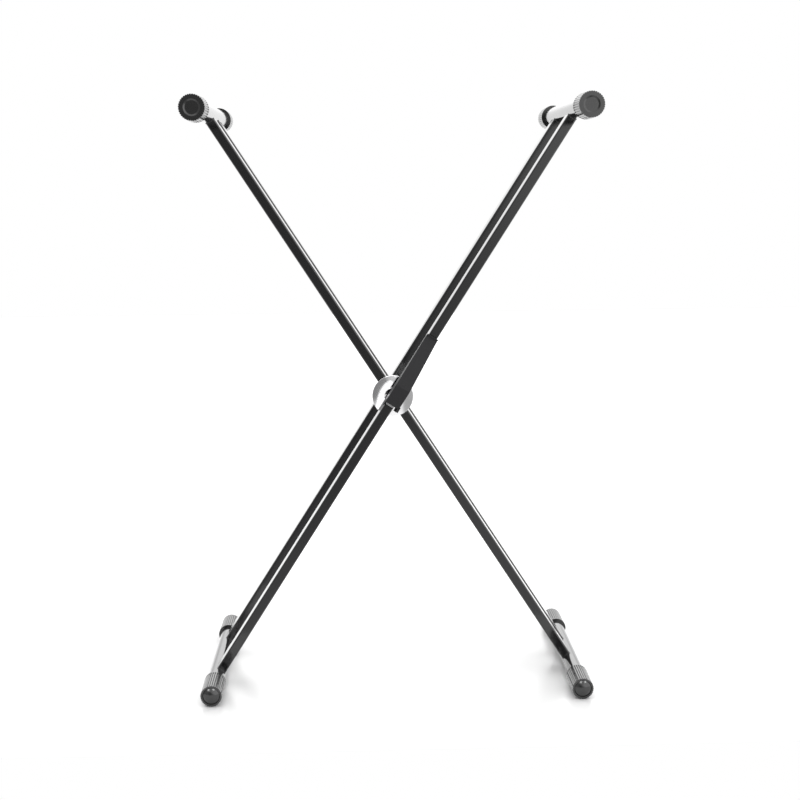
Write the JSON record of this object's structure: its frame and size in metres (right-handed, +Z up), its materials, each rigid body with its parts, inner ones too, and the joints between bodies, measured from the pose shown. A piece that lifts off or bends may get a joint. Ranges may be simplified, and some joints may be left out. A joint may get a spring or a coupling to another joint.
{
  "type": "folding keyboard stand",
  "caption": "Folding X-shaped keyboard stand of black steel tube with double rails, round cross tubes, ribbed end caps and a cam clamp lever on the hub.",
  "frame": {"origin": "on the floor, midway between the feet and midway along the cross tubes", "axes": "+Z up, +X to the right seen from the lever side, +Y from the lever side to the far side"},
  "size_m": [0.6012, 0.431, 0.9094],
  "materials": {
    "black_gloss_coat": "black gloss powder coat",
    "lever_coat": "black satin coat on pressed sheet",
    "cap_rubber": "semi-gloss moulded, ribbed sides",
    "plated_plate": "bright plated pressed plate",
    "zinc_steel": "zinc plated",
    "spring_steel": "hardened, oiled",
    "black_nylon": "moulded nylon",
    "friction_lining": "pressed fibre"
  },
  "bodies": {
    "outer_frame": {"outer_rail_near": "black_gloss_coat", "outer_rail_far": "black_gloss_coat", "outer_top_tube": "black_gloss_coat", "outer_foot_tube": "black_gloss_coat", "outer_rail_bush_near": "zinc_steel", "outer_rail_bush_far": "zinc_steel", "outer_top_cap_near": "cap_rubber", "outer_top_cap_far": "cap_rubber", "outer_foot_cap_near": "cap_rubber", "outer_foot_cap_far": "cap_rubber", "outer_hub_disc": "plated_plate", "clutch_lining": "friction_lining", "release_spring": "spring_steel", "cam_pad": "spring_steel", "far_pivot_bolt": "zinc_steel", "far_spacer": "black_nylon", "far_pivot_washer": "zinc_steel", "far_pivot_nut": "zinc_steel"},
    "inner_frame": {"inner_rail_near": "black_gloss_coat", "inner_rail_far": "black_gloss_coat", "inner_top_tube": "black_gloss_coat", "inner_foot_tube": "black_gloss_coat", "inner_rail_bush_near": "zinc_steel", "inner_rail_bush_far": "zinc_steel", "inner_top_cap_near": "cap_rubber", "inner_top_cap_far": "cap_rubber", "inner_foot_cap_near": "cap_rubber", "inner_foot_cap_far": "cap_rubber", "inner_hub_disc": "plated_plate"},
    "spindle_set": {"clamp_spindle": "zinc_steel", "spindle_washer": "zinc_steel", "spindle_nut": "zinc_steel"},
    "lever_set": {"clamp_lever": "lever_coat", "lever_cam": "black_nylon", "cam_pin": "zinc_steel"}
  },
  "joints": [
    {"name": "fold", "type": "hinge", "parent": "outer_frame", "child": "inner_frame", "pos_m": [0, 0, 0.4561], "axis": [0, 1, 0], "range_deg": [-64, 61]},
    {"name": "spindle_slide", "type": "slide", "parent": "outer_frame", "child": "spindle_set", "axis": [0, 1, 0], "range_m": [0, 0.0008]},
    {"name": "lever_swing", "type": "hinge", "parent": "spindle_set", "child": "lever_set", "pos_m": [0, -0.09745, 0.4561], "axis": [0.8415, 0, -0.5402], "range_deg": [0, 80]}
  ],
  "couplings": [
    {"joint": "spindle_slide", "follows": "lever_swing", "m_per_rad": 0.0005729}
  ]
}
